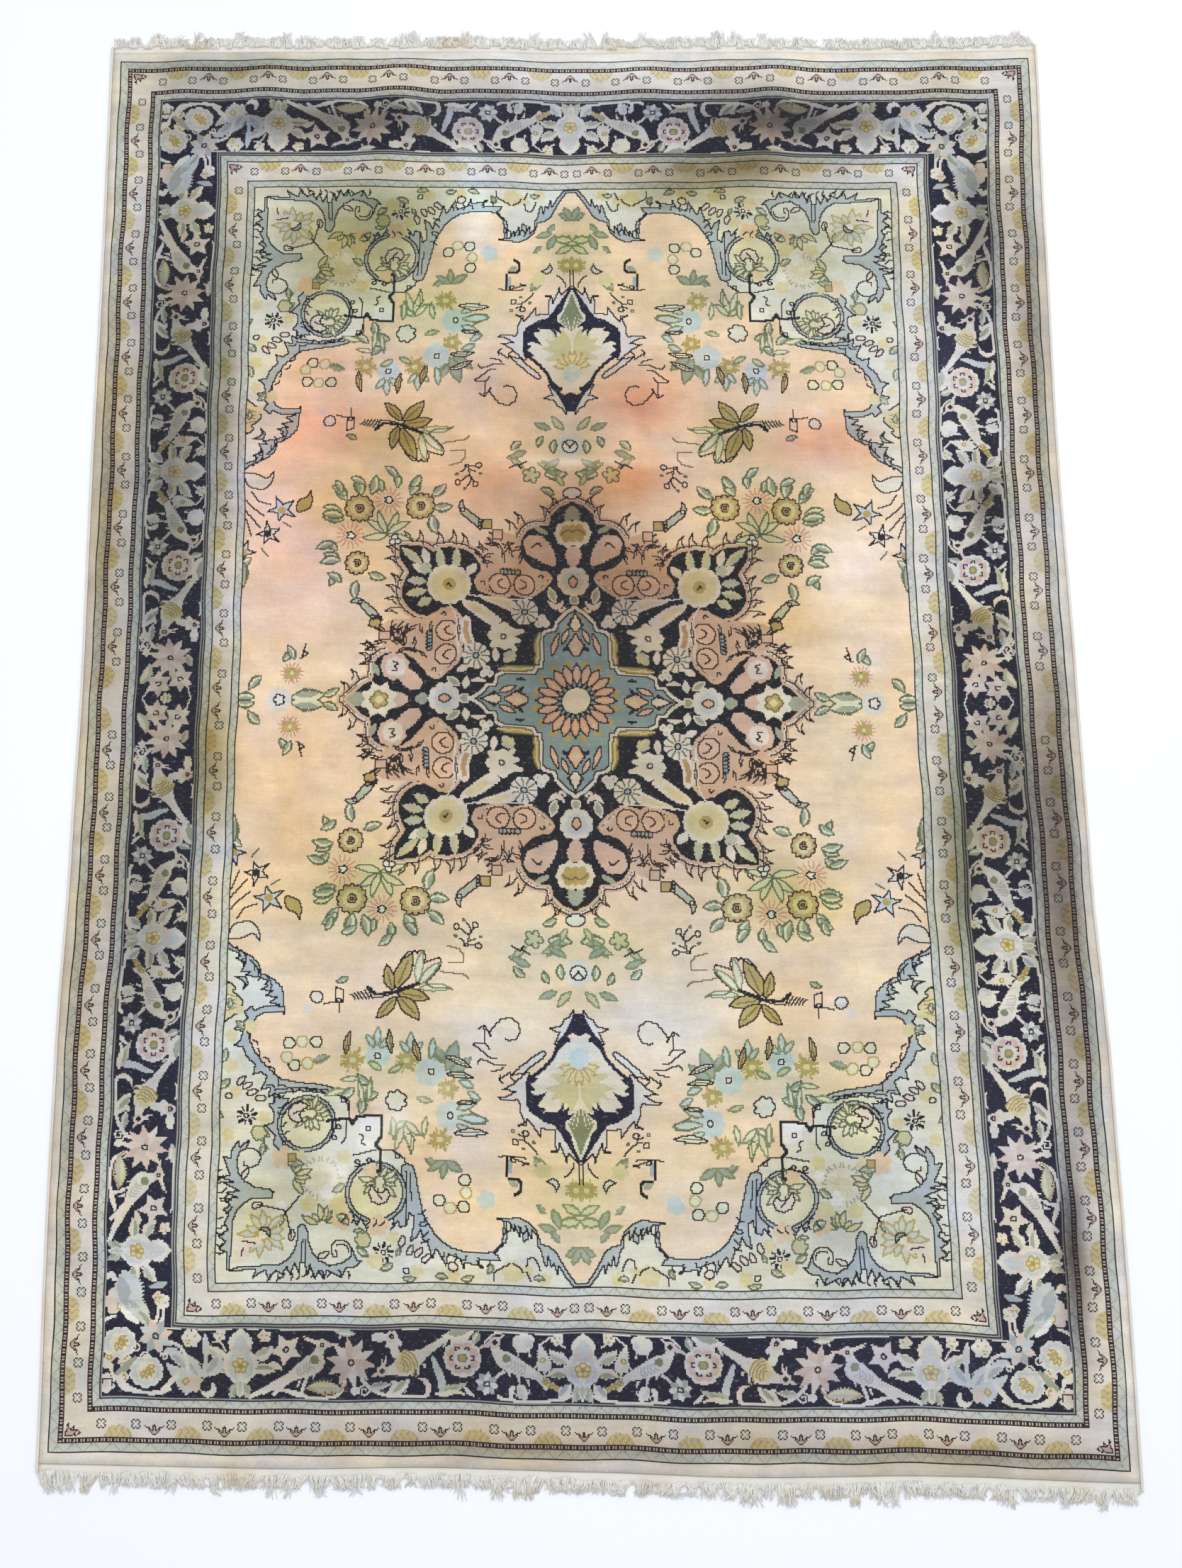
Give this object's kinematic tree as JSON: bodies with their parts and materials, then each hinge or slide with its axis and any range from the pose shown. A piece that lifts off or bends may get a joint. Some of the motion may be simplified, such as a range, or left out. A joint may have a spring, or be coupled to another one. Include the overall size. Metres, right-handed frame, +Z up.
{
  "type": "turkish rug",
  "caption": "Flat hand-knotted silk medallion rug with overcast side cords and a short warp fringe on flat-woven ends.",
  "frame": {"origin": "on the floor, under the middle of the rug with its fringe", "axes": "+X across the rug, +Y along it towards the far fringe, +Z up from the floor"},
  "size_m": [1.1962, 1.8432, 0.0117],
  "materials": {
    "silk_pile": "short silk pile with a soft sheen",
    "cotton_warp": "matt unbleached cotton, flat woven with loose fringe",
    "overcast_yarn": "overcast yarn, slightly fuzzy"
  },
  "bodies": {
    "root": {"pile_slab": "silk_pile", "kilim_end_far": "cotton_warp", "kilim_end_near": "cotton_warp", "side_cord_left": "overcast_yarn", "side_cord_right": "overcast_yarn"}
  },
  "joints": []
}
